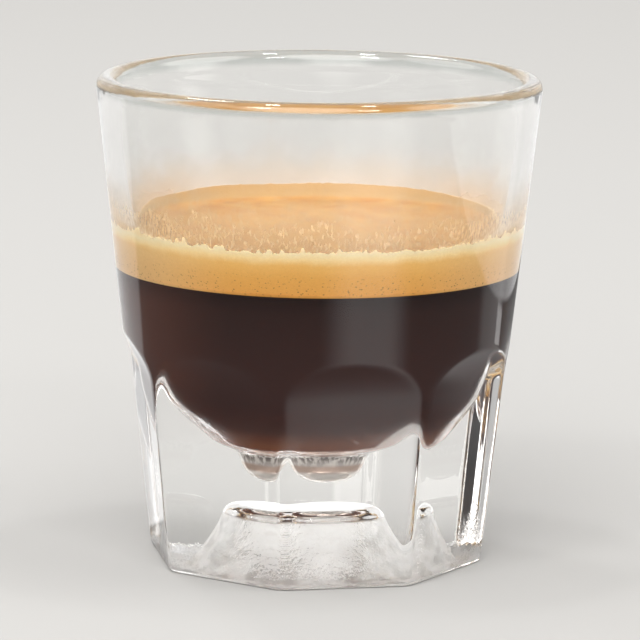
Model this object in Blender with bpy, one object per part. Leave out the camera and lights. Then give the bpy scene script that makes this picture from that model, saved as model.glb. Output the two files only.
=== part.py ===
"""A double espresso in its small eight-sided glass.

Everything stands upright on the XY plane with the glass's axis on Z.  The glass is turned
about its axis as one wall, then eight flats are cut from the lower part of its outside.
The coffee and the foam on it are turned solids that fill the glass up to their levels.
"""

import math

import bmesh
import bpy
from mathutils import Vector
from mathutils.geometry import interpolate_bezier

MM = 0.001

# ---------------------------------------------------------------- driving dimensions
GLASS_HEIGHT = 80.0 * MM
FOOT_RADIUS = 28.0 * MM          # of the round cone that all the outside is cut from
WALL_FLARE = 0.1085              # growth of that cone's radius for each unit of height
RIM_RADIUS = 1.7 * MM            # rounding of the rim
FOOT_CHAMFER = 0.6 * MM

FLATS = 8
FLAT_SHARE = 0.932               # a flat's distance from the axis over the cone's radius
FLAT_TOP = 31.0 * MM             # where the straight part of a flat ends
FLAT_RUNOUT_RADIUS = 10.55 * MM  # of the curve in which a flat leaves the cone
FLAT_RUNOUT_END = 40.0 * MM
FLAT_HALF_WIDTH = 16.0 * MM
CUTTER_REACH = 50.0 * MM
CUTTER_BELOW = 3.0 * MM
FRONT_TURN = math.radians(-11.5)  # turns one ridge from +X to where it stands

# The hollow under the foot: a level top, then two curves down to its mouth, each given by
# the radius and height of its four control points in millimetres.
RECESS_DEPTH = 11.0
RECESS_MOUTH_RADIUS = 16.5
RECESS_SHOULDER = ((6.6, RECESS_DEPTH), (8.0, RECESS_DEPTH), (8.9, 10.5), (9.5, 9.65))
RECESS_FLARE = (RECESS_SHOULDER[-1], (10.5, 6.65), (13.5, 2.4), (RECESS_MOUTH_RADIUS, 0.0))

COFFEE_LEVEL = 48.3 * MM
FOAM_LEVEL = 55.3 * MM
GAP = 0.3 * MM                   # between pieces that touch
FOAM_DISC_RADIUS = 24.0 * MM     # of the level middle of the foam
FOAM_LIP = 0.35 * MM             # thickness of the foam's upper edge on the wall
FOAM_LIP_RISE = 1.25 * MM        # mean height of that edge over the foam's level
FOAM_LIP_TILT = 0.7 * MM         # the edge stands higher at the back than at the front
FOAM_LIP_WAVES = ((5, 0.16, 0.4), (11, 0.15, 1.9), (19, 0.13, 4.2), (31, 0.12, 2.6))

GLASS_STEPS = 96
COFFEE_STEPS = 56
FOAM_STEPS = 120
ARC_STEPS = 5
CRISP_ANGLE = math.radians(16.0)  # edges that turn more than this are shaded sharp

# The inside of the glass, from the floor to the rim: radius and height of each knot in
# millimetres, the direction the wall leaves it in, and the number of steps to the next.
INSIDE_KNOTS = (
    (0.0, 15.1, 1.0, 0.0, 2),
    (4.2, 16.0, 1.0, 0.55, 2),
    (5.6, 17.4, 0.60, 1.0, 2),
    (6.6, 19.5, 0.50, 1.0, 2),
    (7.4, 20.15, 1.0, 0.34, 1),
    (11.2, 21.35, 1.0, 0.42, 1),
    (12.0, 21.8, 1.0, 0.70, 2),
    (17.0, 25.3, 1.0, 0.78, 2),
    (19.4, 27.6, 1.0, 1.35, 2),
    (20.4, 29.6, 0.30, 1.0, 3),
    (22.3, 38.5, 0.25, 1.0, 3),
    (26.8, 48.5, 0.56, 1.0, 4),
    (30.7, 57.5, 0.16, 1.0, 3),
    (32.9, 78.3, 0.095, 1.0, 0),
)


# ---------------------------------------------------------------- helpers
def clear_scene():
    for item in list(bpy.data.objects):
        bpy.data.objects.remove(item, do_unlink=True)


def principled(name, colour, roughness, transmission=0.0, ior=1.5):
    material = bpy.data.materials.new(name)
    material.use_nodes = True
    shader = material.node_tree.nodes["Principled BSDF"]
    shader.inputs["Base Color"].default_value = (*colour, 1.0)
    shader.inputs["Roughness"].default_value = roughness
    shader.inputs["Transmission Weight"].default_value = transmission
    shader.inputs["IOR"].default_value = ior
    return material


def link_object(name, mesh, material=None):
    item = bpy.data.objects.new(name, mesh)
    bpy.context.scene.collection.objects.link(item)
    if material is not None:
        mesh.materials.append(material)
    return item


def chain_mesh(name, points):
    """A mesh of edges through points given as radius and height."""
    build = bmesh.new()
    knots = [build.verts.new((radius, 0.0, height)) for radius, height in points]
    for first, second in zip(knots, knots[1:]):
        build.edges.new((first, second))
    mesh = bpy.data.meshes.new(name)
    build.to_mesh(mesh)
    build.free()
    return mesh


def arc(centre, radius, start, end, steps):
    """Points of an arc in the radius and height plane, angles in degrees."""
    points = []
    for i in range(steps + 1):
        angle = math.radians(start + (end - start) * i / steps)
        points.append((centre[0] + radius * math.cos(angle), centre[1] + radius * math.sin(angle)))
    return points


def curve(controls, steps):
    """Points along the curve that four control points in millimetres give."""
    spots = [Vector((radius, height, 0.0)) * MM for radius, height in controls]
    return [(point.x, point.y) for point in interpolate_bezier(*spots, steps)]


def inside_line():
    """The inner wall from the middle of the floor up to where the rim's rounding begins."""
    line = [(INSIDE_KNOTS[0][0] * MM, INSIDE_KNOTS[0][1] * MM)]
    for knot, following in zip(INSIDE_KNOTS, INSIDE_KNOTS[1:]):
        first = Vector((knot[0], knot[1], 0.0)) * MM
        last = Vector((following[0], following[1], 0.0)) * MM
        pull = (last - first).length / 3.0
        leave = first + Vector((knot[2], knot[3], 0.0)).normalized() * pull
        arrive = last - Vector((following[2], following[3], 0.0)).normalized() * pull
        for point in interpolate_bezier(first, leave, arrive, last, knot[4] + 1)[1:]:
            line.append((point.x, point.y))
    return line


def inset_line(line, distance):
    """The line moved towards the axis and up by the given distance."""
    moved = []
    for i, point in enumerate(line):
        before = Vector(line[max(i - 1, 0)])
        after = Vector(line[min(i + 1, len(line) - 1)])
        along = (after - before).normalized()
        normal = Vector((-along.y, along.x))
        spot = Vector(point) + normal * distance
        moved.append((0.0 if i == 0 else spot.x, spot.y))
    return moved


def cut_line(line, height):
    """The part of a rising line below a height, with its end on that height."""
    kept = [line[0]]
    for first, second in zip(line, line[1:]):
        if second[1] < height:
            kept.append(second)
            continue
        share = (height - first[1]) / (second[1] - first[1])
        kept.append((first[0] + (second[0] - first[0]) * share, height))
        break
    return kept


def radius_at(line, height):
    return cut_line(line, height)[-1][0]


def turn(item, steps):
    """Turns a profile about Z into a closed solid."""
    screw = item.modifiers.new("turned", 'SCREW')
    screw.axis = 'Z'
    screw.angle = math.tau
    screw.steps = steps
    screw.render_steps = steps
    screw.use_merge_vertices = True
    screw.merge_threshold = 0.00001
    screw.use_smooth_shade = True
    return screw


def settle(item):
    """Keeps an object's shape as its modifiers leave it, shaded smooth up to its edges."""
    bpy.context.view_layer.update()
    graph = bpy.context.evaluated_depsgraph_get()
    shaped = bpy.data.meshes.new_from_object(item.evaluated_get(graph))
    item.modifiers.clear()
    item.data = shaped
    shaped.shade_smooth()
    shaped.set_sharp_from_angle(angle=CRISP_ANGLE)


def cone_radius(height):
    return FOOT_RADIUS + WALL_FLARE * height


def flat_distance(height):
    return FLAT_SHARE * cone_radius(height)


# ---------------------------------------------------------------- glass
def glass_profile(inner):
    """The closed outline of the wall, from the recess's middle round to the floor's."""
    slope = math.degrees(math.atan(WALL_FLARE))
    rim_height = GLASS_HEIGHT - RIM_RADIUS
    rim_centre = (cone_radius(rim_height) - RIM_RADIUS, rim_height)
    outline = [(0.0, RECESS_DEPTH * MM)]
    outline += curve(RECESS_SHOULDER, ARC_STEPS - 1)
    outline += curve(RECESS_FLARE, ARC_STEPS)[1:]
    outline.append((FOOT_RADIUS - FOOT_CHAMFER, 0.0))
    outline.append((cone_radius(FOOT_CHAMFER), FOOT_CHAMFER))
    outline += arc(rim_centre, RIM_RADIUS, -slope, 180.0 - slope, 2 * ARC_STEPS - 1)
    outline += list(reversed(inner))[1:]
    return outline


def flat_cutter(index, parent):
    """A solid that takes one flat, with its curved run-out, from the round outside."""
    low = flat_distance(FOOT_CHAMFER)
    outline = [
        (CUTTER_REACH, -CUTTER_BELOW),
        (low - FOOT_CHAMFER - CUTTER_BELOW, -CUTTER_BELOW),
        (low, FOOT_CHAMFER),
    ]
    steps = 2 * ARC_STEPS
    for i in range(steps + 1):
        height = FLAT_TOP + (FLAT_RUNOUT_END - FLAT_TOP) * i / steps
        bulge = (height - FLAT_TOP) ** 2 / (2.0 * FLAT_RUNOUT_RADIUS)
        outline.append((flat_distance(height) + bulge, height))
    outline.append((CUTTER_REACH, FLAT_RUNOUT_END))
    build = bmesh.new()
    corners = [build.verts.new((radius, -FLAT_HALF_WIDTH, height)) for radius, height in outline]
    end = build.faces.new(corners)
    grown = bmesh.ops.extrude_face_region(build, geom=[end])
    far = [part for part in grown["geom"] if isinstance(part, bmesh.types.BMVert)]
    bmesh.ops.translate(build, verts=far, vec=(0.0, 2.0 * FLAT_HALF_WIDTH, 0.0))
    bmesh.ops.recalc_face_normals(build, faces=build.faces[:])
    mesh = bpy.data.meshes.new(f"flat_cutter_{index}")
    build.to_mesh(mesh)
    build.free()
    cutter = link_object(f"flat_cutter_{index}", mesh)
    cutter.parent = parent
    cutter.rotation_euler.z = math.tau * (index + 0.5) / FLATS
    cutter.hide_render = True
    cutter.display_type = 'WIRE'
    return cutter


def build_glass(inner):
    clear = principled("clear_glass", (0.93, 0.95, 0.94), 0.03, transmission=1.0, ior=1.52)
    glass = link_object("glass", chain_mesh("glass", glass_profile(inner)), clear)
    glass.rotation_euler.z = FRONT_TURN
    turn(glass, GLASS_STEPS)
    cutters = [flat_cutter(index, glass) for index in range(FLATS)]
    for index, cutter in enumerate(cutters):
        cut = glass.modifiers.new(f"flat_{index}", 'BOOLEAN')
        cut.operation = 'DIFFERENCE'
        cut.solver = 'EXACT'
        cut.object = cutter
    settle(glass)
    for cutter in cutters:
        bpy.data.objects.remove(cutter, do_unlink=True)
    return glass


# ---------------------------------------------------------------- what the glass holds
def build_coffee(inner):
    """The coffee, shaped by the inside of the glass below the foam."""
    dark = principled("dark_coffee", (0.022, 0.010, 0.007), 0.08)
    side = cut_line(inset_line(inner, GAP), COFFEE_LEVEL - GAP / 2.0)
    outline = [(0.0, COFFEE_LEVEL - GAP / 2.0)] + list(reversed(side))
    coffee = link_object("coffee", chain_mesh("coffee", outline), dark)
    turn(coffee, COFFEE_STEPS)
    settle(coffee)
    return coffee


def lip_rise(angle):
    """Height of the foam's ragged edge over its level, by the angle about the axis."""
    rise = FOAM_LIP_RISE + FOAM_LIP_TILT * math.sin(angle)
    for count, size, phase in FOAM_LIP_WAVES:
        rise += size * MM * math.sin(count * angle + phase)
    return rise


def build_crema(inner):
    """The foam: a level disc whose ragged edge climbs the wall a little."""
    golden = principled("golden_foam", (0.62, 0.36, 0.12), 0.55)
    wall = inset_line(inner, GAP)
    base = COFFEE_LEVEL + GAP / 2.0
    middle = (base + FOAM_LEVEL) / 2.0
    build = bmesh.new()
    rings = []
    for i in range(FOAM_STEPS):
        angle = math.tau * i / FOAM_STEPS
        top = FOAM_LEVEL + lip_rise(angle)
        edge = radius_at(wall, top)
        level_edge = radius_at(wall, FOAM_LEVEL)
        section = [
            (radius_at(wall, base), base),
            (radius_at(wall, middle), middle),
            (level_edge, FOAM_LEVEL),
            (edge, top),
            (edge - FOAM_LIP, top),
            (level_edge - 2.6 * FOAM_LIP, FOAM_LEVEL + 0.35 * (top - FOAM_LEVEL)),
            (level_edge - 7.0 * FOAM_LIP, FOAM_LEVEL + 0.06 * (top - FOAM_LEVEL)),
            (FOAM_DISC_RADIUS, FOAM_LEVEL),
        ]
        rings.append([
            build.verts.new((radius * math.cos(angle), radius * math.sin(angle), height))
            for radius, height in section
        ])
    for first, second in zip(rings, rings[1:] + rings[:1]):
        for i in range(len(first) - 1):
            build.faces.new((first[i], second[i], second[i + 1], first[i + 1]))
    build.faces.new([ring[0] for ring in reversed(rings)])
    build.faces.new([ring[-1] for ring in rings])
    bmesh.ops.recalc_face_normals(build, faces=build.faces[:])
    mesh = bpy.data.meshes.new("crema")
    build.to_mesh(mesh)
    build.free()
    crema = link_object("crema", mesh, golden)
    mesh.shade_smooth()
    mesh.set_sharp_from_angle(angle=math.radians(35.0))
    return crema


def main():
    clear_scene()
    inner = inside_line()
    build_glass(inner)
    build_coffee(inner)
    build_crema(inner)


main()
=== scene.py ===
# %% [markdown]
# # A double espresso in its eight-sided glass
# The imported solids come in first, as the frame that everything else is fitted to. Each new piece
# is modelled at its own place in that frame, so nothing has to be moved later. The finished model
# may hardly be larger than the solids are.

# %% Load the frame
import math

import bmesh
import bpy
from mathutils import Matrix, Vector, noise
from mathutils.geometry import interpolate_bezier


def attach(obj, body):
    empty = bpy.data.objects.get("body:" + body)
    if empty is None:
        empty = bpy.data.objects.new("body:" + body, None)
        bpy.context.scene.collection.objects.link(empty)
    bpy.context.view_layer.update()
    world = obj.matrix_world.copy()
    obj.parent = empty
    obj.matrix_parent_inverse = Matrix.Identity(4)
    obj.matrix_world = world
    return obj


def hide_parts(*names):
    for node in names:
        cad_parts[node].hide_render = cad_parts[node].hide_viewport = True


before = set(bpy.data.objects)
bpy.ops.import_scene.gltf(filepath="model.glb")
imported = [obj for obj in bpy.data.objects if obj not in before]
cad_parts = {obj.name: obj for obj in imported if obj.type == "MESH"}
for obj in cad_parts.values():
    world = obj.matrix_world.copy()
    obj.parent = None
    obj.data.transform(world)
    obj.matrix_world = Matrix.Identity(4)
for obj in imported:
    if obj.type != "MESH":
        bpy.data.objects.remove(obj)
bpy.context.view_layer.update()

MM = 0.001
print("nodes in the frame:", sorted(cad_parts))

# %% [markdown]
# ## Turned skins
# A glass, the drink in it and the foam on top are all round about one axis. Such a shape could
# be stacked from cylinders, but one profile that is spun round Z gives a single closed skin
# with no seams to hide. A profile is a chain of edges in the plane of radius and height. Where
# both its ends lie on the axis, merging the doubles closes the two poles.

# %% Turn a profile
SAME_POINT = 0.0005 * MM


def chain(build, points):
    """A chain of edges through points given as radius and height in metres."""
    knots = [build.verts.new((radius, 0.0, height)) for radius, height in points]
    return knots + [build.edges.new(pair) for pair in zip(knots, knots[1:])]


def close_up(build):
    """Merges the vertices that meet and turns every face outwards."""
    bmesh.ops.remove_doubles(build, verts=build.verts[:], dist=SAME_POINT)
    bmesh.ops.recalc_face_normals(build, faces=build.faces[:])


def turned(points, steps):
    """A closed skin: the chain of points spun once round Z."""
    build = bmesh.new()
    bmesh.ops.spin(
        build, geom=chain(build, points), cent=(0, 0, 0), axis=(0, 0, 1), dvec=(0, 0, 0),
        angle=math.tau, steps=steps, use_merge=True, use_normal_flip=False, use_duplicate=False,
    )
    close_up(build)
    return build


test_ring = turned([(1.0, 0.0), (2.0, 0.0), (2.0, 1.0), (1.0, 0.0)], 8)
print(f"a three-sided ring turned in 8 steps: {len(test_ring.faces)} faces")
test_ring.free()

# %% [markdown]
# ## Handing a piece over
# A bmesh is only a workbench: it has to be written into a mesh, given a material and hung on an
# object before anything can be seen. Every piece goes the same way, so one function does it.

# %% Finish a piece
def finish_piece(build, name, material, node=None, crisp=None):
    """Puts a made skin into the scene as a piece of the object."""
    mesh = bpy.data.meshes.new(name)
    build.to_mesh(mesh)
    build.free()
    mesh.materials.append(material)
    mesh.shade_smooth()
    if crisp is not None:
        mesh.set_sharp_from_angle(angle=math.radians(crisp))
    piece = bpy.data.objects.new(name, mesh)
    bpy.context.scene.collection.objects.link(piece)
    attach(piece, "root")
    if node is not None:
        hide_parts(node)
    mesh.calc_loop_triangles()
    print(f"{name}: {len(mesh.loop_triangles)} triangles")
    return piece


# %% [markdown]
# ## Shader sums that read like Python
# Glass, coffee and foam change with height and distance from the axis, and that takes many
# Math nodes. Placed one at a time they are hard to follow, so a small class wraps a socket and
# lets plain expressions such as 1 - mask add the nodes. The step method gives a soft threshold,
# which is what most of the patterns here are made of.

# %% Wrap a socket
class Wire:
    """A shader socket that takes part in sums as a number does."""

    def __init__(self, tree, socket):
        self.tree = tree
        self.socket = socket

    @staticmethod
    def node(tree, kind, settings=None, values=None, output=0):
        """Adds a node, makes its settings, fills or links its sockets and wraps one output."""
        made = tree.nodes.new(kind)
        for key, value in (settings or {}).items():
            if key == "stops":
                Wire.set_stops(made.color_ramp, value)
            else:
                setattr(made, key, value)
        for key, value in (values or {}).items():
            if isinstance(value, Wire):
                tree.links.new(value.socket, made.inputs[key])
            elif made.inputs[key].type == "RGBA":
                made.inputs[key].default_value = (*value[:3], 1.0)
            else:
                made.inputs[key].default_value = value
        return Wire(tree, made.outputs[output]) if made.outputs else None

    @staticmethod
    def set_stops(colour_ramp, stops):
        while len(colour_ramp.elements) < len(stops):
            colour_ramp.elements.new(0.5)
        for element, (place, colour) in zip(colour_ramp.elements, stops):
            element.position = place
            element.color = (*colour, 1.0)

    def other(self, output):
        """Another output of the same node."""
        return Wire(self.tree, self.socket.node.outputs[output])

    def feed(self, shader, name):
        """Links this socket to one of a shader's inputs."""
        self.tree.links.new(self.socket, shader.inputs[name])

    def math(self, operation, *others):
        values = dict(enumerate((self, *others)))
        return Wire.node(self.tree, "ShaderNodeMath", {"operation": operation}, values)

    def swapped(self, operation, other):
        return Wire.node(self.tree, "ShaderNodeMath", {"operation": operation}, {0: other, 1: self})

    def __add__(self, other):
        return self.math("ADD", other)

    def __radd__(self, other):
        return self.swapped("ADD", other)

    def __sub__(self, other):
        return self.math("SUBTRACT", other)

    def __rsub__(self, other):
        return self.swapped("SUBTRACT", other)

    def __mul__(self, other):
        return self.math("MULTIPLY", other)

    def __rmul__(self, other):
        return self.swapped("MULTIPLY", other)

    def __neg__(self):
        return self.math("MULTIPLY", -1.0)

    def share(self, low, high):
        """How far the value has gone from low to high, as a straight line from 0 to 1."""
        return Wire.node(
            self.tree, "ShaderNodeMapRange", None, {"Value": self, "From Min": low, "From Max": high},
        )

    def step(self, low, high):
        """0 below low, 1 above high and smooth between."""
        return Wire.node(
            self.tree, "ShaderNodeMapRange", {"interpolation_type": "SMOOTHSTEP"},
            {"Value": self, "From Min": low, "From Max": high, "To Min": 0.0, "To Max": 1.0},
        )

    def band(self, low, low_full, high_full, high):
        """1 between the two full values, falling smoothly to 0 at the outer two."""
        return self.step(low, low_full) * (1.0 - self.step(high_full, high))


print("a wire takes part in + - and *, and has share, step and band")

# %% [markdown]
# ## Places, patterns and mixtures
# All patterns here are laid out in Object coordinates. They need no unwrapping, they stay put
# when the piece is copied, and on turned work the height and the distance from the axis say
# nearly everything. Colours never go through a Math node, which would turn them grey: they
# are mixed by a Mix node or looked up in a ramp.

# %% Shader helpers
# The sockets by which a Mix node takes and gives colours; its others are for plain numbers.
MIX_FACTOR, MIX_FIRST, MIX_SECOND, MIX_RESULT = 0, 6, 7, 2


def new_material(name):
    """A material with its node tree and its main shader."""
    material = bpy.data.materials.new(name)
    material.use_nodes = True
    tree = material.node_tree
    return material, tree, tree.nodes["Principled BSDF"]


def lay_out(tree):
    """The place on the piece, and its X, Y and Z."""
    place = Wire.node(tree, "ShaderNodeTexCoord").other("Object")
    across = Wire.node(tree, "ShaderNodeSeparateXYZ", None, {"Vector": place})
    return place, across, across.other("Y"), across.other("Z")


def stretched(place, scale):
    """The place with each of its parts multiplied, which stretches a pattern."""
    return Wire.node(place.tree, "ShaderNodeVectorMath", {"operation": "MULTIPLY"}, {0: place, 1: scale})


def from_axis(place):
    """The distance from the Z axis."""
    level = stretched(place, (1.0, 1.0, 0.0))
    return Wire.node(place.tree, "ShaderNodeVectorMath", {"operation": "LENGTH"}, {0: level}, "Value")


def clouds(place, scale, detail, roughness=0.5):
    """Soft noise between 0 and 1 whose lumps are about 1 / scale metres wide."""
    return Wire.node(
        place.tree, "ShaderNodeTexNoise", None,
        {"Vector": place, "Scale": scale, "Detail": detail, "Roughness": roughness},
    )


def mixed(factor, first, second, way="MIX"):
    """Two colours mixed by a factor."""
    return Wire.node(
        first.tree if isinstance(first, Wire) else factor.tree, "ShaderNodeMix",
        {"data_type": "RGBA", "blend_type": way},
        {MIX_FACTOR: factor, MIX_FIRST: first, MIX_SECOND: second}, MIX_RESULT,
    )


def looked_up(value, *stops):
    """A colour from a ramp with the given places and colours."""
    return Wire.node(value.tree, "ShaderNodeValToRGB", {"stops": stops}, {"Fac": value})


print("helpers for a place, a stretch, a distance, clouds, a mixture and a ramp")

# %% [markdown]
# ## The wall's measures
# The real glass is pressed: a plunger forms the smooth inside, and a mould forms the outside,
# which is a plain cone above and an eight-sided foot below. The same few sizes drive the solids
# in the frame, so they are named once here and every curve below is worked out from them.

# %% Measures of the glass
GLASS_HEIGHT = 80.0 * MM
FOOT_RADIUS = 28.0 * MM
WALL_FLARE = 0.1085
RIM_RADIUS = 1.7 * MM
FOOT_ROUNDING = 0.7 * MM
RECESS_DEPTH = 11.0 * MM
RECESS_MOUTH_RADIUS = 16.5 * MM
FOOT_RING_RADIUS = 21.0 * MM
WALL_SLOPE = math.degrees(math.atan(WALL_FLARE))


def cone_radius(height):
    """The radius of the plain outside at a height."""
    return FOOT_RADIUS + WALL_FLARE * height


print(f"cone: {2000 * cone_radius(GLASS_HEIGHT):.1f} mm across above, {2000 * FOOT_RADIUS:.1f} mm below")

# %% [markdown]
# ## The inside line
# The hollow that holds the drink narrows downwards in a long bowl and ends in a small well. Its
# line decides where the dark coffee seems to end when it is seen through the thick base, so it
# has to be right to a few tenths of a millimetre. A curve through a few knots, each with the
# direction in which the line passes, is easy to adjust. Every knot is radius, height, the
# direction's two parts, and the number of steps to the next one.

# %% The inside line
INSIDE_KNOTS = (
    (0.0, 15.1, 1.0, 0.0, 6),
    (4.2, 16.0, 1.0, 0.55, 5),
    (5.6, 17.4, 0.60, 1.0, 5),
    (6.6, 19.5, 0.50, 1.0, 5),
    (7.4, 20.15, 1.0, 0.34, 5),
    (11.2, 21.35, 1.0, 0.42, 3),
    (12.0, 21.8, 1.0, 0.70, 6),
    (17.0, 25.3, 1.0, 0.78, 5),
    (19.4, 27.6, 1.0, 1.35, 4),
    (20.4, 29.6, 0.30, 1.0, 8),
    (22.3, 38.5, 0.25, 1.0, 8),
    (26.8, 48.5, 0.56, 1.0, 9),
    (30.7, 57.5, 0.16, 1.0, 7),
    (32.9, 78.3, 0.095, 1.0, 0),
)
HANDLE_SHARE = 1.0 / 3.0


def through_knots(knots):
    """A smooth line through the knots, as radius and height in metres."""
    line = [(knots[0][0] * MM, knots[0][1] * MM)]
    for knot, following in zip(knots, knots[1:]):
        first = Vector((knot[0], knot[1], 0.0)) * MM
        last = Vector((following[0], following[1], 0.0)) * MM
        pull = (last - first).length * HANDLE_SHARE
        leave = first + Vector((knot[2], knot[3], 0.0)).normalized() * pull
        arrive = last - Vector((following[2], following[3], 0.0)).normalized() * pull
        for point in interpolate_bezier(first, leave, arrive, last, knot[4] + 1)[1:]:
            line.append((point.x, point.y))
    return line


inner = through_knots(INSIDE_KNOTS)
print(f"inside line: {len(inner)} points")

# %% [markdown]
# ## The outside line
# Under the foot is a round recess with soft shoulders, then the narrow ring that the glass
# stands on. The rim is a half round as thick as the wall. Bends are arcs and the recess is two
# curves, while the straight cone needs only a few points, with many of them close together
# where the arches of the flats will be cut.

# %% The outside line
def arc(centre, radius, start, end, steps):
    """Points on an arc, from one angle in degrees to another."""
    turns = [math.radians(start + (end - start) * i / steps) for i in range(steps + 1)]
    return [(centre[0] + radius * math.cos(turn), centre[1] + radius * math.sin(turn)) for turn in turns]


def curve(controls, steps):
    """A curve with four control points in millimetres, as radius and height in metres."""
    spots = [Vector((radius, height, 0.0)) * MM for radius, height in controls]
    return [(point.x, point.y) for point in interpolate_bezier(*spots, steps)]


depth_mm, mouth_mm = RECESS_DEPTH / MM, RECESS_MOUTH_RADIUS / MM
SHOULDER = ((6.6, depth_mm), (8.0, depth_mm), (8.9, depth_mm - 0.5), (9.5, depth_mm - 1.35))
FLARE = (SHOULDER[3], (10.5, depth_mm - 4.35), (mouth_mm - 3.0, 2.4), (mouth_mm, 0.0))
CAP_MIDDLE = 4.0 * MM
WALL_HEIGHTS = (4, 8, 12, 16, 20, 24, 27)
ARCH_HEIGHTS = tuple(quarter / 4 for quarter in range(114, 165))
CONE_HEIGHTS = (43, 48, 54, 60, 66, 72, 76)

rim_centre = (cone_radius(GLASS_HEIGHT - RIM_RADIUS) - RIM_RADIUS, GLASS_HEIGHT - RIM_RADIUS)
foot_centre = (FOOT_RADIUS - FOOT_ROUNDING, FOOT_ROUNDING)
outline = [(0.0, RECESS_DEPTH), (CAP_MIDDLE, RECESS_DEPTH)]
outline += curve(SHOULDER, 10) + curve(FLARE, 14)[1:] + [(FOOT_RING_RADIUS, 0.0)]
outline += arc(foot_centre, FOOT_ROUNDING, -90.0, -WALL_SLOPE, 6)
outline += [(cone_radius(z * MM), z * MM) for z in WALL_HEIGHTS + ARCH_HEIGHTS + CONE_HEIGHTS]
outline += arc(rim_centre, RIM_RADIUS, -WALL_SLOPE, 180.0 - WALL_SLOPE, 20)
outline += inner[-2::-1]
print(f"whole section of the glass: {len(outline)} points")

# %% [markdown]
# ## Pressing the flats
# The mould's eight flats could be cut from the cone with a Boolean, but the cut would leave hard
# edges and long thin faces that glass shows at once. Moving the turned skin's own vertices
# in to the flats keeps the mesh even, and the lesser of the two distances can be rounded where
# cone and flat meet. Above the flats' straight part their distance grows with the square of the
# height, nearly as along a circle, which makes the arches. Only one eighth is spun and
# pressed; the rest are copies turned round Z.

# %% Press the flats
FLATS = 8
FLAT_SHARE = 0.932
FLAT_TOP = 31.0 * MM
FLAT_RUNOUT_RADIUS = 10.55 * MM
ARCH_TOP = 42.0 * MM
OUTSIDE_FROM = 27.0 * MM
FRONT_TURN = math.radians(-11.5)
EDGE_SOFTNESS = 0.42 * MM
EIGHTH_STEPS = 60


def soft_least(first, second, softness):
    """The lesser of two values, with the change from one to the other rounded."""
    share = max(softness - abs(first - second), 0.0) / softness
    return min(first, second) - share * share * softness / 4.0


def flat_radius(height, angle):
    """How far from the axis the nearest flat lies, at a height and an angle."""
    part = math.tau / FLATS
    off = (angle - FRONT_TURN) % part - part / 2.0
    distance = FLAT_SHARE * cone_radius(height)
    if height > FLAT_TOP:
        distance += (height - FLAT_TOP) ** 2 / (2.0 * FLAT_RUNOUT_RADIUS)
    return distance / math.cos(off)


def press_flats(build):
    """Moves the outside of the turned wall in to the flats, from the foot up to the arches."""
    for vert in build.verts:
        if vert.co.xy.length < OUTSIDE_FROM or vert.co.z > ARCH_TOP:
            continue
        plain = cone_radius(vert.co.z)
        flat = flat_radius(vert.co.z, math.atan2(vert.co.y, vert.co.x))
        vert.co.xy *= soft_least(plain, flat, EDGE_SOFTNESS) / plain


def spin_eighth(points):
    """One eighth of a turned skin, from one ridge to the next."""
    build = bmesh.new()
    made = chain(build, points)
    start = Matrix.Rotation(FRONT_TURN, 3, "Z")
    bmesh.ops.rotate(build, verts=build.verts[:], cent=(0, 0, 0), matrix=start)
    bmesh.ops.spin(
        build, geom=made, cent=(0, 0, 0), axis=(0, 0, 1), dvec=(0, 0, 0), angle=math.tau / FLATS,
        steps=EIGHTH_STEPS, use_merge=False, use_normal_flip=False, use_duplicate=False,
    )
    return build


def repeat_round(build):
    """Copies an eighth round the axis until the ring is whole, and closes it."""
    made = 1
    while made < FLATS:
        copy = bmesh.ops.duplicate(build, geom=build.verts[:] + build.edges[:] + build.faces[:])
        copied = [part for part in copy["geom"] if isinstance(part, bmesh.types.BMVert)]
        round_z = Matrix.Rotation(made * math.tau / FLATS, 3, "Z")
        bmesh.ops.rotate(build, verts=copied, cent=(0, 0, 0), matrix=round_z)
        made *= 2
    close_up(build)


glass_build = spin_eighth(outline)
press_flats(glass_build)
repeat_round(glass_build)
print(f"glass skin: {len(glass_build.faces)} faces")

# %% [markdown]
# ## Clear glass, rough underneath
# Pressed glass is clear, but the recess and the ring under the foot are stippled by the mould
# and scatter the light. One Principled shader with full transmission does both when a mask
# raises its roughness there. The stipple also holds a little milky light, so a diffuse shader
# is mixed in under the same mask. Bump gives the stipple its pits, the foot its slight waves
# and the rim the unevenness of a fire-polished edge. The rim is a touch greener than the
# wall, because one looks through it along the glass and not across.

# %% Where the glass changes
def mm(*lengths):
    """Lengths in millimetres, as metres."""
    return tuple(length * MM for length in lengths)


RIM_FROM = mm(77.2, 78.0)
RIM_WAVES_FROM = mm(76.4, 77.6)
CAP_FROM = (RECESS_DEPTH - 2.2 * MM, RECESS_DEPTH - 1.5 * MM)
CAP_BAND = mm(9.6, 10.4, 11.2, 12.0)
CAP_EDGE = mm(11.0, 12.0)
CAP_CLEARNESS = 0.93
DRINK_FROM = mm(11.4, 12.0)
RECESS_EDGE = mm(16.6, 17.2)
STANDING_RING = mm(0.05, 0.3)


def stipple_mask(radius, height):
    """1 in the recess and on the standing ring, a little on the recess's flat cap."""
    below_cap = 1.0 - height.step(*CAP_FROM) * CAP_CLEARNESS
    under_drink = 1.0 - height.step(*DRINK_FROM)
    hollow = below_cap * (1.0 - radius.step(*RECESS_EDGE)) * under_drink
    return hollow.math("MAXIMUM", 1.0 - height.step(*STANDING_RING))


print(f"the stipple ends {1000 * RECESS_EDGE[1]:.1f} mm from the axis")

# %% [markdown]
# ## Pits, swells and waves
# No pressed surface is a perfect plane. All its unevenness is added up as one height, in which
# each part is kept to its own place by a mask, and a single Bump node turns that height into
# bent normals. Real displacement would need far more faces and show no more than this.

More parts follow.
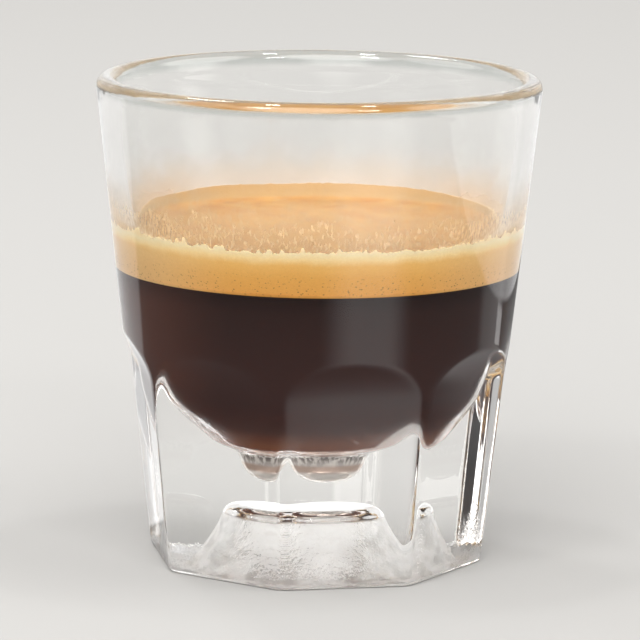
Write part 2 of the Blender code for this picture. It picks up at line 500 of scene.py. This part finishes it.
# %% The glass's small relief
GRAIN_SCALE, GRAIN_DETAIL, GRAIN_ROUGHNESS = 2200.0, 3.0, 0.6
PITS_SCALE, PITS_DETAIL = 900.0, 2.0
CAP_WAVES = 3.0
FOOT_OUTSIDE = mm(24.0, 25.0)
FOOT_WAVES_END = mm(2.0, 8.0)
RELIEF_STRENGTH = 0.6
RELIEF_DEPTH = 0.25 * MM


def glass_bump(place, radius, height, stippled, swell):
    """Pits in the stipple, soft swells on the rim and the cap, and waves on the foot."""
    grain = clouds(place, GRAIN_SCALE, GRAIN_DETAIL, GRAIN_ROUGHNESS)
    pits = clouds(place, PITS_SCALE, PITS_DETAIL)
    cap = height.band(*CAP_BAND) * (1.0 - radius.step(*CAP_EDGE))
    uneven = height.step(*RIM_WAVES_FROM) + cap * CAP_WAVES
    foot = radius.step(*FOOT_OUTSIDE) * (1.0 - height.step(*FOOT_WAVES_END))
    lumps = (grain * 0.5 + pits) * stippled + swell * uneven * 0.5 + pits * foot * 0.4
    return Wire.node(
        place.tree, "ShaderNodeBump", None,
        {"Height": lumps, "Strength": RELIEF_STRENGTH, "Distance": RELIEF_DEPTH},
    )


print(f"deepest relief: {1000 * RELIEF_DEPTH:.2f} mm")

# %% [markdown]
# ## The glass's material
# Here the masks and the relief come together. The index of 1.52 is that of soda-lime glass. The
# colours are very nearly white, since a ray is tinted anew at every face that it passes.

# %% Clear glass
CLEAR = (0.996, 0.997, 0.992)
RIM_TINT = (0.74, 0.77, 0.755)
MILKY = (0.92, 0.92, 0.91)
GLASS_INDEX = 1.52
STIPPLE_ROUGHNESS = 0.42
SWELL_SCALE, SWELL_DETAIL = 260.0, 1.0
LEAST_MILK, CLOUDY_MILK = 0.20, 0.35


def clear_glass():
    material, tree, shader = new_material("clear_glass")
    shader.inputs["Transmission Weight"].default_value = 1.0
    shader.inputs["IOR"].default_value = GLASS_INDEX
    place, _, _, height = lay_out(tree)
    radius = from_axis(place)
    stippled = stipple_mask(radius, height)
    swell = clouds(place, SWELL_SCALE, SWELL_DETAIL)
    bump = glass_bump(place, radius, height, stippled, swell)
    mixed(height.step(*RIM_FROM), CLEAR, RIM_TINT).feed(shader, "Base Color")
    (stippled * STIPPLE_ROUGHNESS).feed(shader, "Roughness")
    bump.feed(shader, "Normal")
    milk = Wire.node(tree, "ShaderNodeBsdfDiffuse", None, {"Color": MILKY, "Normal": bump})
    share = stippled * (LEAST_MILK + swell.step(0.35, 0.62) * CLOUDY_MILK)
    clear = Wire(tree, shader.outputs["BSDF"])
    whole = Wire.node(tree, "ShaderNodeMixShader", None, {0: share, 1: clear, 2: milk})
    whole.feed(tree.nodes["Material Output"], "Surface")
    return material


finish_piece(glass_build, "glass_body", clear_glass(), node="glass")

# %% [markdown]
# ## The coffee
# The coffee fills the bottom of the hollow. If it shared the glass's own surface the renderer
# could not tell which comes first, and a wide gap would show as a line of air, so its skin lies
# six hundredths of a millimetre inside the wall. The same inside line is moved inwards along
# its own normals, cut off at the coffee's level and spun.

# %% Fit the coffee to the wall
COFFEE_LEVEL = 48.3 * MM
FOAM_LEVEL = 55.3 * MM
SINK = 0.06 * MM
COFFEE_STEPS = 240


def sunk_line(line, distance):
    """The line moved inwards along its normals."""
    moved = []
    for i, point in enumerate(line):
        before = Vector(line[max(i - 1, 0)])
        after = Vector(line[min(i + 1, len(line) - 1)])
        along = (after - before).normalized()
        spot = Vector(point) + Vector((along.y, -along.x)) * distance
        moved.append((0.0 if i == 0 else spot.x, spot.y))
    return moved


def cut_line(line, height):
    """The part of the line below a height, ending exactly at it."""
    kept = [line[0]]
    for first, second in zip(line, line[1:]):
        if second[1] < height:
            kept.append(second)
            continue
        share = (height - first[1]) / (second[1] - first[1])
        kept.append((first[0] + (second[0] - first[0]) * share, height))
        break
    return kept


wall = sunk_line(inner, SINK)
coffee_side = cut_line(wall, COFFEE_LEVEL)
coffee_build = turned([(0.0, COFFEE_LEVEL)] + coffee_side[::-1], COFFEE_STEPS)
print(f"coffee: {2000 * coffee_side[-1][0]:.1f} mm across at its top")

# %% [markdown]
# ## The coffee's colour
# Espresso is nearly black, and only where it is thin, at its lower edge and towards the sides,
# does a red-brown glow of light come through. A volume would show that but renders slowly, so
# the body is opaque and that glow is painted into its colour by height and side, more on the
# left. The well at the bottom is seen by mirrored light alone, and its colours are a painted
# reflection: it is paler, with dark upright flutes round its top and a brown belt below.

# %% Colours of the coffee
# Dark by depth, with a painted red-brown glow in the lowest stops, and darker towards the top.
COFFEE_AND_GLOW_BY_DEPTH = (
    (0.13, (0.16, 0.060, 0.035)), (0.22, (0.075, 0.025, 0.017)), (0.42, (0.034, 0.014, 0.012)),
    (0.9, (0.028, 0.012, 0.010)), (1.0, (0.014, 0.005, 0.004)),
)
# Painted glow: the red-brown of light through thin coffee at the sides and the lower edge.
PAINTED_GLOW_COFFEE = (0.125, 0.043, 0.026)
PAINTED_EDGE_GLOW = (0.22, 0.075, 0.035)
DEPTH_RANGE = mm(16.0, 48.5)
GLOW_LEFT, GLOW_RIGHT = mm(12.0, 30.0), mm(24.0, 33.0)
DARK_TOP = mm(44.0, 48.5)
GLOW_BAND = mm(20.6, 21.0, 21.6, 25.5)


def coffee_with_painted_glow(across, height):
    """Dark by depth, with painted glow at the lower edge and where thin, more on the left."""
    by_depth = looked_up(height.share(*DEPTH_RANGE), *COFFEE_AND_GLOW_BY_DEPTH)
    # painted glow towards the sides, stronger and wider on the left
    thin = (-across).step(*GLOW_LEFT) * 0.75 + across.step(*GLOW_RIGHT) * 0.5
    thin = thin * (1.0 - height.step(*DARK_TOP) * 0.5)
    with_glow = mixed(thin, by_depth, PAINTED_GLOW_COFFEE)
    return mixed(height.band(*GLOW_BAND) * 0.8, with_glow, PAINTED_EDGE_GLOW)


print("colours down the coffee:", len(COFFEE_AND_GLOW_BY_DEPTH))

# %% [markdown]
# ## The well and the coffee's shine
# Upright flutes come from noise that is stretched along Z. Seen through the thick base, the
# wall's slope acts as a mirror below a certain angle, and an index below one gives the coffee's
# skin that total reflection. In the well a little metal does the same for the pale colour.

# %% Colour the coffee
# The well's colours are a painted reflection of what its mirrored wall shows through the base.
WELL_REFLECTION_PALE = (0.84, 0.79, 0.74)
WELL_REFLECTION_BROWN = (0.44, 0.29, 0.22)
WELL_REFLECTION_DARK = (0.17, 0.14, 0.13)
WELL_TOP = mm(20.0, 20.3)
FLUTES_FROM = mm(17.6, 20.0)
FLUTE_SCALE, FLUTE_STRETCH = 1700.0, (1.0, 1.0, 0.12)
BELT_BAND = mm(16.7, 17.5, 18.0, 18.8)
COFFEE_ROUGHNESS = 0.02
MIRROR_INDEX = 0.945
WELL_METAL = 0.4


def well_painted_reflection(place, height):
    """A painted reflection: pale, with a brown belt and dark flutes above it."""
    ripple = clouds(stretched(place, FLUTE_STRETCH), FLUTE_SCALE, 1.0)
    # the dark flutes and the brown belt are part of the painted reflection
    flutes = ripple.step(0.36, 0.60) * height.step(*FLUTES_FROM)
    belt = height.band(*BELT_BAND)
    return mixed(flutes, mixed(belt * 0.8, WELL_REFLECTION_PALE, WELL_REFLECTION_BROWN), WELL_REFLECTION_DARK)


def dark_coffee():
    material, tree, shader = new_material("dark_coffee")
    shader.inputs["Roughness"].default_value = COFFEE_ROUGHNESS
    shader.inputs["IOR"].default_value = MIRROR_INDEX
    place, across, _, height = lay_out(tree)
    well = 1.0 - height.step(*WELL_TOP)
    mixed(well, coffee_with_painted_glow(across, height), well_painted_reflection(place, height)).feed(shader, "Base Color")
    (well * WELL_METAL).feed(shader, "Metallic")
    return material


finish_piece(coffee_build, "coffee_fill", dark_coffee(), node="coffee", crisp=35)

# %% [markdown]
# ## The crema's shape
# Crema is a fine foam that floats on the coffee. It climbs the wall in a lip, ragged where
# bubbles have dried on, and its surface is nearly flat. The skin is turned like the coffee's,
# with many more steps round, so that the next step has vertices enough to make the lip ragged.

# %% Turn the crema
LIP_RISE = 1.2 * MM
LIP_CROWN = ((0.22, 0.02), (0.48, -0.22), (0.75, -0.62), (1.15, -0.95), (1.9, -1.14))
SURFACE_RADII = (26.0, 23.5, 20.5, 17.0, 13.0, 9.0, 5.0, 2.0)
UNDERSIDE_RADIUS = 18.0 * MM
CREMA_STEPS = 720

lip = FOAM_LEVEL + LIP_RISE
on_wall = [coffee_side[-1]] + [point for point in cut_line(wall, lip) if point[1] > COFFEE_LEVEL]
crown = [(on_wall[-1][0] - inwards * MM, lip + rise * MM) for inwards, rise in LIP_CROWN]
surface = [(radius * MM, FOAM_LEVEL) for radius in SURFACE_RADII] + [(0.0, FOAM_LEVEL)]
underside = [(0.0, COFFEE_LEVEL), (UNDERSIDE_RADIUS, COFFEE_LEVEL)]
crema_build = turned(underside + on_wall + crown + surface, CREMA_STEPS)
print(f"crema: {1000 * (lip - COFFEE_LEVEL):.1f} mm thick at the wall")

# %% [markdown]
# ## A ragged lip
# Four noises of different pitch are added along the circle: a slow swell, two fine ones for the
# bubbles, and one that is cut off from below, so that only its peaks are left as small
# spikes. Reading noise at points on a circle closes it without a seam. The lip stands higher
# on one side, as after the cup has been tilted, and it is most ragged on the other. Raised
# vertices follow the wall outwards. A much fainter noise keeps the surface from being a plane.

# %% Make the lip ragged
LIP_TILT = 0.7 * MM
SWELL_PITCH, SWELL_MM = 2.3, 0.45
BUBBLE_PITCH, FROTH_PITCH, BUBBLE_MM = 15.0, 52.0, 0.42
SPIKE_PITCH, SPIKE_FROM, SPIKE_GAIN_MM, SPIKE_MOST_MM = 27.0, 0.20, 4.0, 0.85
BACK_CLIMB_MM = 0.95
CALM_BACK = 0.12
SMOOTH_LIP = 28.6 * MM
MIDDLE = 1.0 * MM


def ring_noise(x, y, pitch, layer):
    return noise.noise(Vector((x * pitch, y * pitch, layer)))


def ragged(x, y):
    """How far the foam's edge on the wall stands over its mean height, in the direction x, y."""
    slow = ring_noise(x, y, SWELL_PITCH, 1.7) * SWELL_MM
    fine = (ring_noise(x, y, BUBBLE_PITCH, 5.1) + ring_noise(x, y, FROTH_PITCH, 9.4)) * BUBBLE_MM
    spikes = max(ring_noise(x, y, SPIKE_PITCH, 3.3) - SPIKE_FROM, 0.0) * SPIKE_GAIN_MM
    strength = min(max(0.5 - 0.9 * y, CALM_BACK), 1.0)
    climb = max(y, 0.0) * BACK_CLIMB_MM
    return (slow + climb + (fine + min(spikes, SPIKE_MOST_MM)) * strength) * MM + LIP_TILT * y


def roughen_crema(build):
    """Raises the lip along the wall and makes the surface slightly uneven."""
    for vert in build.verts:
        radius = vert.co.xy.length
        share = min(max((vert.co.z - FOAM_LEVEL) / LIP_RISE, 0.0), 1.0)
        if radius > SMOOTH_LIP and share > 0.0:
            was = cut_line(wall, vert.co.z)[-1][0]
            vert.co.z += ragged(*(vert.co.xy / radius)) * share
            vert.co.xy *= 1.0 + (cut_line(wall, vert.co.z)[-1][0] - was) / radius
        elif MIDDLE < radius <= SMOOTH_LIP and vert.co.z > FOAM_LEVEL - LIP_RISE:
            spot = Vector((vert.co.x, vert.co.y, 0.0)) / MM
            vert.co.z += (noise.noise(spot * 0.22) * 0.10 + noise.noise(spot * 0.9) * 0.05) * MM


roughen_crema(crema_build)
print(f"highest foam: {1000 * max(vert.co.z for vert in crema_build.verts):.1f} mm")

# %% [markdown]
# ## The crema's colours
# Through the glass the foam is golden, deeper towards the coffee, with a pale lip where the
# finest bubbles are, and painted light makes its lower part paler round the sides. Its top is a
# hazelnut brown with soft lighter clouds. A ramp over the height gives the side, moved a little
# by noise so that no colour ends in a straight line. The top has a ramp of its own, which follows
# the noise alone, and painted shade darkens the foam where it climbs the wall.

# %% Colours of the crema
SIDE_BY_HEIGHT = (
    (0.0, (0.72, 0.31, 0.05)), (0.06, (0.87, 0.42, 0.09)), (0.40, (0.89, 0.46, 0.105)),
    (0.66, (0.93, 0.54, 0.155)), (0.80, (1.0, 0.76, 0.37)), (0.92, (1.0, 0.85, 0.54)),
    (1.0, (1.0, 0.80, 0.47)),
)
TOP_BY_CLOUD = (
    (0.30, (0.39, 0.172, 0.041)), (0.48, (0.435, 0.215, 0.054)), (0.66, (0.475, 0.260, 0.077)),
)
# Painted light: the lower side of the foam is paler towards left and right.
PAINTED_LIGHT_SIDES = (0.90, 0.61, 0.29)
# Painted shade: a duller brown for the foam that climbs the wall and faces the front light.
SHADED_RAISED_FOAM = (0.385, 0.235, 0.088)
SIDES_LEFT, SIDES_RIGHT = mm(11.0, 28.0), mm(12.0, 31.0)
RAISED_FROM = mm(55.5, 56.1)


def crema_side(across, level, cloud):
    """Golden by height, with painted light making the lower part paler round the sides."""
    by_height = looked_up(level + (cloud - 0.5) * 0.16, *SIDE_BY_HEIGHT)
    # where the painted light makes the lower side paler
    sides = ((-across).step(*SIDES_LEFT) + across.step(*SIDES_RIGHT)) * 0.75
    return mixed(sides * (1.0 - level.step(0.62, 0.8)), by_height, PAINTED_LIGHT_SIDES)


def crema_top(height, cloud):
    """Hazelnut clouds, with painted shade where the foam climbs the wall."""
    # painted shade where the foam climbs the wall
    return mixed(height.step(*RAISED_FROM), looked_up(cloud, *TOP_BY_CLOUD), SHADED_RAISED_FOAM)


print("colours up the crema's side:", len(SIDE_BY_HEIGHT))

# %% [markdown]
# ## Froth, bubbles and specks
# Fine noise stands for the froth and the cells of a Voronoi pattern for single bubbles. Both
# go into the bump, and the darkest cells near the coffee become specks. A mask compares the
# distance from the axis with the wall's own line, to tell the skin on the wall from the top.

# %% Colour the crema
SPECK = (0.38, 0.17, 0.04)
FROTH_SHADE = ((0.3, (0.95, 0.93, 0.90)), (0.7, (1.0, 1.0, 1.0)))
CLOUD_SCALE, FROTH_SCALE, BUBBLE_SCALE = 260.0, 2600.0, 1700.0
WALL_LINE_SLOPE, WALL_LINE_START = 0.29, mm(13.88, 13.95)
TOP_FROM = mm(54.6, 55.0)
FOAM_ROUGHNESS = 0.55
FOAM_INDEX = 1.33
FROTH_RELIEF = 0.12 * MM


def golden_foam():
    material, tree, shader = new_material("golden_foam")
    shader.inputs["Roughness"].default_value = FOAM_ROUGHNESS
    shader.inputs["IOR"].default_value = FOAM_INDEX
    place, across, _, height = lay_out(tree)
    level = height.share(COFFEE_LEVEL, FOAM_LEVEL + 1.0 * MM)
    cloud = clouds(place, CLOUD_SCALE, 3.0, 0.55)
    froth = clouds(place, FROTH_SCALE, 2.0, 0.6)
    bubbles = Wire.node(
        tree, "ShaderNodeTexVoronoi", {"feature": "F1"}, {"Vector": place, "Scale": BUBBLE_SCALE},
    )
    at_wall = (from_axis(place) - height * WALL_LINE_SLOPE).step(*WALL_LINE_START)
    on_top = height.step(*TOP_FROM) * (1.0 - at_wall)
    body = mixed(on_top, crema_side(across, level, cloud), crema_top(height, cloud))
    specks = (0.32 - bubbles).step(0.0, 0.14) * froth.step(0.42, 0.56) * (1.0 - level.step(0.16, 0.62))
    speckled = mixed(specks * 0.8, body, SPECK)
    mixed(1.0, speckled, looked_up(froth, *FROTH_SHADE), "MULTIPLY").feed(shader, "Base Color")
    bump = Wire.node(
        tree, "ShaderNodeBump", None,
        {"Height": froth * 0.5 - bubbles * 0.5, "Strength": 0.5, "Distance": FROTH_RELIEF},
    )
    bump.feed(shader, "Normal")
    return material


finish_piece(crema_build, "crema_foam", golden_foam(), node="crema", crisp=50)

# %% [markdown]
# ## The film of foam on the wall
# Where the drink has run down, a thin film of foam clings to the glass over the crema and
# fades upwards to a haze. It could be painted on the glass, but then it would sit in the clear
# material and vanish from inside. So it is a closed shell, less than a tenth of a millimetre
# thick, that lies just inside the wall and is turned from the wall's own line.

# %% Turn the film
FILM_LOW = 54.8 * MM
FILM_HIGH = 75.0 * MM
FILM_SINK = 0.03 * MM
FILM_THICKNESS = 0.075 * MM
FILM_STEPS = 240

film_line = cut_line(sunk_line(inner, FILM_SINK), FILM_HIGH)
film_outside = [point for point in film_line if point[1] > FILM_LOW]
film_inside = [(radius - FILM_THICKNESS, height) for radius, height in film_outside[::-1]]
film_build = turned(film_outside + film_inside + film_outside[:1], FILM_STEPS)
print(f"film: {1000 * (FILM_HIGH - FILM_LOW):.1f} mm high")

# %% [markdown]
# ## How much of the film shows
# A film this thin hides only a small share of what is behind it, so its whole look lies in the
# alpha: an even haze, a denser lower part, fine trails in front, and a collar at the sides, where
# one looks along the wall. Noise is added to the height before each threshold, and so every
# edge is cloudy. The colour goes from gold at the foam to grey where only mist is left.

# %% Colour the film
FILM_BY_RISE = (
    (0.0, (0.84, 0.53, 0.25)), (0.30, (0.65, 0.50, 0.33)), (0.55, (0.53, 0.49, 0.43)),
    (1.0, (0.74, 0.72, 0.69)),
)
TRAIL = (1.0, 0.80, 0.53)
TRAIL_SCALE, TRAIL_STRETCH = 3000.0, (1.0, 1.0, 0.36)
PATCH_SCALE = 190.0
FRONT_FROM, SIDES_FROM = mm(-6.0, 14.0), mm(18.0, 28.0)
HAZE_COVER, LOWER_COVER, TRAIL_COVER, COLLAR_COVER = 0.07, 0.15, 0.12, 0.26
FILM_ROUGHNESS = 0.5


def foam_film():
    material, tree, shader = new_material("foam_film")
    shader.inputs["Roughness"].default_value = FILM_ROUGHNESS
    shader.inputs["IOR"].default_value = FOAM_INDEX
    place, across, along, height = lay_out(tree)
    streaks = clouds(stretched(place, TRAIL_STRETCH), TRAIL_SCALE, 2.0)
    patches = clouds(place, PATCH_SCALE, 3.0, 0.6) - 0.5
    rise = height.share(FILM_LOW, FILM_HIGH)
    front = (-along).step(*FRONT_FROM)
    foggy = 1.0 - (rise + patches * 0.5).step(0.10, 0.95)
    lower = 1.0 - (rise + patches * 0.35).step(0.22, 0.58)
    side_on = across.math("ABSOLUTE").step(*SIDES_FROM)
    collar = side_on * (1.0 - (rise + patches * 0.2).step(0.0, 0.46))
    trails = streaks.step(0.36, 0.70) * lower * front
    shown_trails = trails * (1.0 - side_on * 0.8) * TRAIL_COVER
    cover = foggy * HAZE_COVER + lower * LOWER_COVER + shown_trails + collar * COLLAR_COVER
    cover.feed(shader, "Alpha")
    mixed(trails, looked_up(rise, *FILM_BY_RISE), TRAIL).feed(shader, "Base Color")
    return material


finish_piece(film_build, "foam_film", foam_film())

# %% [markdown]
# ## The floor
# Glass shows mostly what is around it, so the plain pale floor counts as much as the lamps do.
# It is large enough to reach the horizon, lies a tenth of a millimetre under the glass, and
# has no shine, because a mirrored softbox in the floor would show up in every facet.

# %% Lay the floor
FLOOR_HALF = 4.0
FLOOR_DROP = 0.1 * MM
FLOOR_COLOUR = (0.315, 0.312, 0.306, 1.0)


def stage_sheet(name, half, height, material):
    """A flat square in the studio, which is no part of the object."""
    build = bmesh.new()
    place = Matrix.Translation((0.0, 0.0, height))
    bmesh.ops.create_grid(build, x_segments=1, y_segments=1, size=half, matrix=place)
    mesh = bpy.data.meshes.new(name)
    build.to_mesh(mesh)
    build.free()
    mesh.materials.append(material)
    sheet = bpy.data.objects.new(name, mesh)
    bpy.context.scene.collection.objects.link(sheet)
    return sheet


floor_material, _, floor_shader = new_material("pale_floor")
floor_shader.inputs["Base Color"].default_value = FLOOR_COLOUR
floor_shader.inputs["Roughness"].default_value = 1.0
floor_shader.inputs["Specular IOR Level"].default_value = 0.0
stage_sheet("floor", FLOOR_HALF, -FLOOR_DROP, floor_material)
print(f"floor: {2 * FLOOR_HALF:.0f} m square")

# %% [markdown]
# ## The camera
# The camera looks slightly down on the glass from the height of a seated eye. Its distance sets
# how round the rim's ellipse is against the foot's, and the lens then sets the size, so the two
# are fitted one after the other. A long lens, 0.7 m away, keeps the perspective gentle. The
# shift of a few pixels only frames the glass.

# %% Place the camera
EYE_DISTANCE = 700.0 * MM
EYE_TARGET = Vector((0.0, 0.0, 40.1 * MM))
EYE_UP = math.radians(10.35)
EYE_ROLL = math.radians(0.63)
SENSOR_WIDTH = 36.0
IMAGE_WIDTH_PX = 640.0
FOCAL_LENGTH_PX = 4236.0
SHIFT_RIGHT_PX, SHIFT_UP_PX = 3.0, -5.0

camera_data = bpy.data.cameras.new("eye")
camera_data.sensor_width = SENSOR_WIDTH
camera_data.lens = FOCAL_LENGTH_PX * SENSOR_WIDTH / IMAGE_WIDTH_PX
camera_data.shift_x = SHIFT_RIGHT_PX / IMAGE_WIDTH_PX
camera_data.shift_y = SHIFT_UP_PX / IMAGE_WIDTH_PX
camera_data.clip_start = 0.01
camera = bpy.data.objects.new("eye", camera_data)
bpy.context.scene.collection.objects.link(camera)
camera.location = EYE_TARGET + Vector((0.0, -math.cos(EYE_UP), math.sin(EYE_UP))) * EYE_DISTANCE
level_turn = Matrix.Rotation(math.radians(90.0) - EYE_UP, 3, "X")
camera.rotation_euler = (level_turn @ Matrix.Rotation(EYE_ROLL, 3, "Z")).to_euler()
bpy.context.scene.camera = camera
print(f"camera: lens {camera_data.lens:.0f} mm, {math.degrees(EYE_UP):.1f} degrees above level")

# %% [markdown]
# ## The studio sky
# The clear base sends each line of sight somewhere else: to the floor, to the horizon or far up
# into the room. So the light is made as a whole sky and not as two or three lamps. A pale ring
# at the horizon keeps the base bright, three large softboxes light the foam from the front and
# the sides, a soft light comes from behind, and one small dark flag on the right puts the
# dark strip into the corner of the glass. A dot product tells how far a direction lies from
# the middle of each of them.

# %% Light the sky
OVERALL_LIGHT = 0.10
RING_LIGHT, RING_TOP = 0.46, (0.27, 0.42)
SKY_COLOUR = (1.0, 0.985, 0.965, 1.0)
# Each box, as its bearing from the front, its height over the horizon, both in degrees, the
# cosines of the angles at which its light begins and is full, and its strength.
FRONT_BOX = (-10, 40, 0.80, 0.95, 5.9)
LEFT_BOX = (-85, 34, 0.85, 0.95, 2.4)
RIGHT_BOX = (80, 30, 0.85, 0.95, 3.9)
BACK_LIGHT = (180, 50, 0.3, 1.0, 0.92)
DARK_FLAG = (28, 22, 0.983, 0.996, 0.85)


def glow(way, bearing, rise, low, high, strength):
    """The light of one box in a direction: its strength in the middle, falling to 0."""
    turn, lift = math.radians(bearing), math.radians(rise)
    towards = (math.sin(turn) * math.cos(lift), -math.cos(turn) * math.cos(lift), math.sin(lift))
    facing = Wire.node(
        way.tree, "ShaderNodeVectorMath", {"operation": "DOT_PRODUCT"}, {0: way, 1: towards}, "Value",
    )
    return facing.step(low, high) * strength


world = bpy.data.worlds.new("studio")
world.use_nodes = True
sky = world.node_tree.nodes["Background"]
way = Wire.node(world.node_tree, "ShaderNodeTexCoord")
up = Wire.node(world.node_tree, "ShaderNodeSeparateXYZ", None, {"Vector": way}, "Z")
ring = OVERALL_LIGHT + RING_LIGHT * (1.0 - up.step(*RING_TOP))
boxes = ring + glow(way, *FRONT_BOX) + glow(way, *LEFT_BOX) + glow(way, *RIGHT_BOX)
(boxes * (1.0 - glow(way, *DARK_FLAG)) + glow(way, *BACK_LIGHT)).feed(sky, "Strength")
sky.inputs["Color"].default_value = SKY_COLOUR
bpy.context.scene.world = world
print("sky: a ring, three softboxes, a back light and a flag")

# %% [markdown]
# ## Small lamps for the rim
# A rim of glass is a bent mirror, and each small bright lamp draws one short streak on it. Five
# small rectangular lamps about a metre away make the streaks on the front and the back of the
# rim. They are bright but small, so they add little to the light on the foam.

# %% Hang the small lamps
RIM_CENTRE = Vector((0.0, 0.0, GLASS_HEIGHT))


def small_lamp(name, place, width, height, radiance):
    """A rectangular lamp that faces the rim and whose surface has the given brightness."""
    data = bpy.data.lights.new(name, "AREA")
    data.shape = "RECTANGLE"
    data.size = width
    data.size_y = height
    data.energy = radiance * width * height * math.pi
    lamp = bpy.data.objects.new(name, data)
    bpy.context.scene.collection.objects.link(lamp)
    lamp.location = place
    lamp.rotation_euler = (RIM_CENTRE - Vector(place)).to_track_quat("-Z", "Y").to_euler()


small_lamp("high_left", (-0.20, 0.03, 1.0), 0.10, 0.05, 70.0)
small_lamp("high_right", (0.22, 0.03, 1.0), 0.10, 0.05, 70.0)
small_lamp("rear_left", (-0.321, 0.476, 0.90), 0.10, 0.20, 26.0)
small_lamp("front_left", (-0.403, -0.534, 0.823), 0.15, 0.15, 22.0)
small_lamp("front_right", (0.398, -0.749, 0.61), 0.17, 0.12, 22.0)
print("small lamps:", len(bpy.data.lights))

# %% [markdown]
# ## A card that only reflections see
# The walls lean outwards, so what they mirror to the eye is the table top, and a table is
# brighter in some places than in others. A sheet just over the floor that is hidden from the
# camera, from diffuse light and from light through the glass can carry those places alone.
# Its brightness follows the bearing from the glass, in degrees, and the reach, which is how far
# out a place lies. Its colour carries it, because a colour is what an export can bake.

# %% Lay the reflection card
CARD_HALF = 0.6
CARD_LEVEL = 0.23
STRIPE_BEARINGS, STRIPE_REACH, STRIPE_LIGHT = (0.0, 20.0, 36.0, 52.0), (0.036, 0.088), 1.05
FACET_BEARINGS, FACET_LIGHT = (98.0, 106.0, 122.0, 130.0), 0.40
ARCH_BEARINGS, ARCH_REACH = (120.0, 122.0, 127.0, 129.0), (0.148, 0.155, 0.178, 0.188)
RIGHT_WAY, RIGHT_FROM, RIGHT_LIGHT = (0.914, 0.406), (0.181, 0.188), 0.85
LEFT_UNTIL, LEFT_LIGHT = (-118.0, -114.0), 0.75
HIDDEN_FROM = ("camera", "diffuse", "transmission", "shadow")


def card_light():
    """Brighter patches for the broad stripe, the right facet, the arch and both rear corners."""
    material = bpy.data.materials.new("card_light")
    material.use_nodes = True
    tree = material.node_tree
    tree.nodes.clear()
    place, across, along, _ = lay_out(tree)
    bearing = across.math("ARCTAN2", -along) * math.degrees(1.0)
    reach = Wire.node(tree, "ShaderNodeVectorMath", {"operation": "LENGTH"}, {0: place}, "Value")
    stripe = bearing.band(*STRIPE_BEARINGS) * reach.step(*STRIPE_REACH) * STRIPE_LIGHT
    facet = bearing.band(*FACET_BEARINGS) * FACET_LIGHT
    arch = bearing.band(*ARCH_BEARINGS) * reach.band(*ARCH_REACH)
    right = (across * RIGHT_WAY[0] + along * RIGHT_WAY[1]).step(*RIGHT_FROM) * RIGHT_LIGHT
    left = (1.0 - bearing.step(*LEFT_UNTIL)) * LEFT_LIGHT
    level = CARD_LEVEL + stripe + facet + arch + right + left
    shine = Wire.node(tree, "ShaderNodeEmission", None, {"Color": level, "Strength": 1.0})
    Wire.node(tree, "ShaderNodeOutputMaterial", None, {"Surface": shine})
    return material


card = stage_sheet("reflection_card", CARD_HALF, 0.0, card_light())
for ray in HIDDEN_FROM:
    setattr(card, f"visible_{ray}", False)
print(f"card: {2 * CARD_HALF:.1f} m square, hidden from", ", ".join(HIDDEN_FROM))

# %% [markdown]
# ## Bounces
# A line of sight can be thrown to and fro inside a facet a dozen times before it leaves the
# glass. Each of these is a bounce, and where they run out the glass turns black, so there
# are many of them. The Standard view keeps the golden colours as they were mixed.

# %% Set the bounces
scene = bpy.context.scene
scene.view_settings.view_transform = "Standard"
scene.cycles.max_bounces = 32
scene.cycles.transmission_bounces = 32
scene.cycles.glossy_bounces = 16
scene.cycles.diffuse_bounces = 4
scene.cycles.transparent_max_bounces = 16
print("bounces:", scene.cycles.max_bounces)
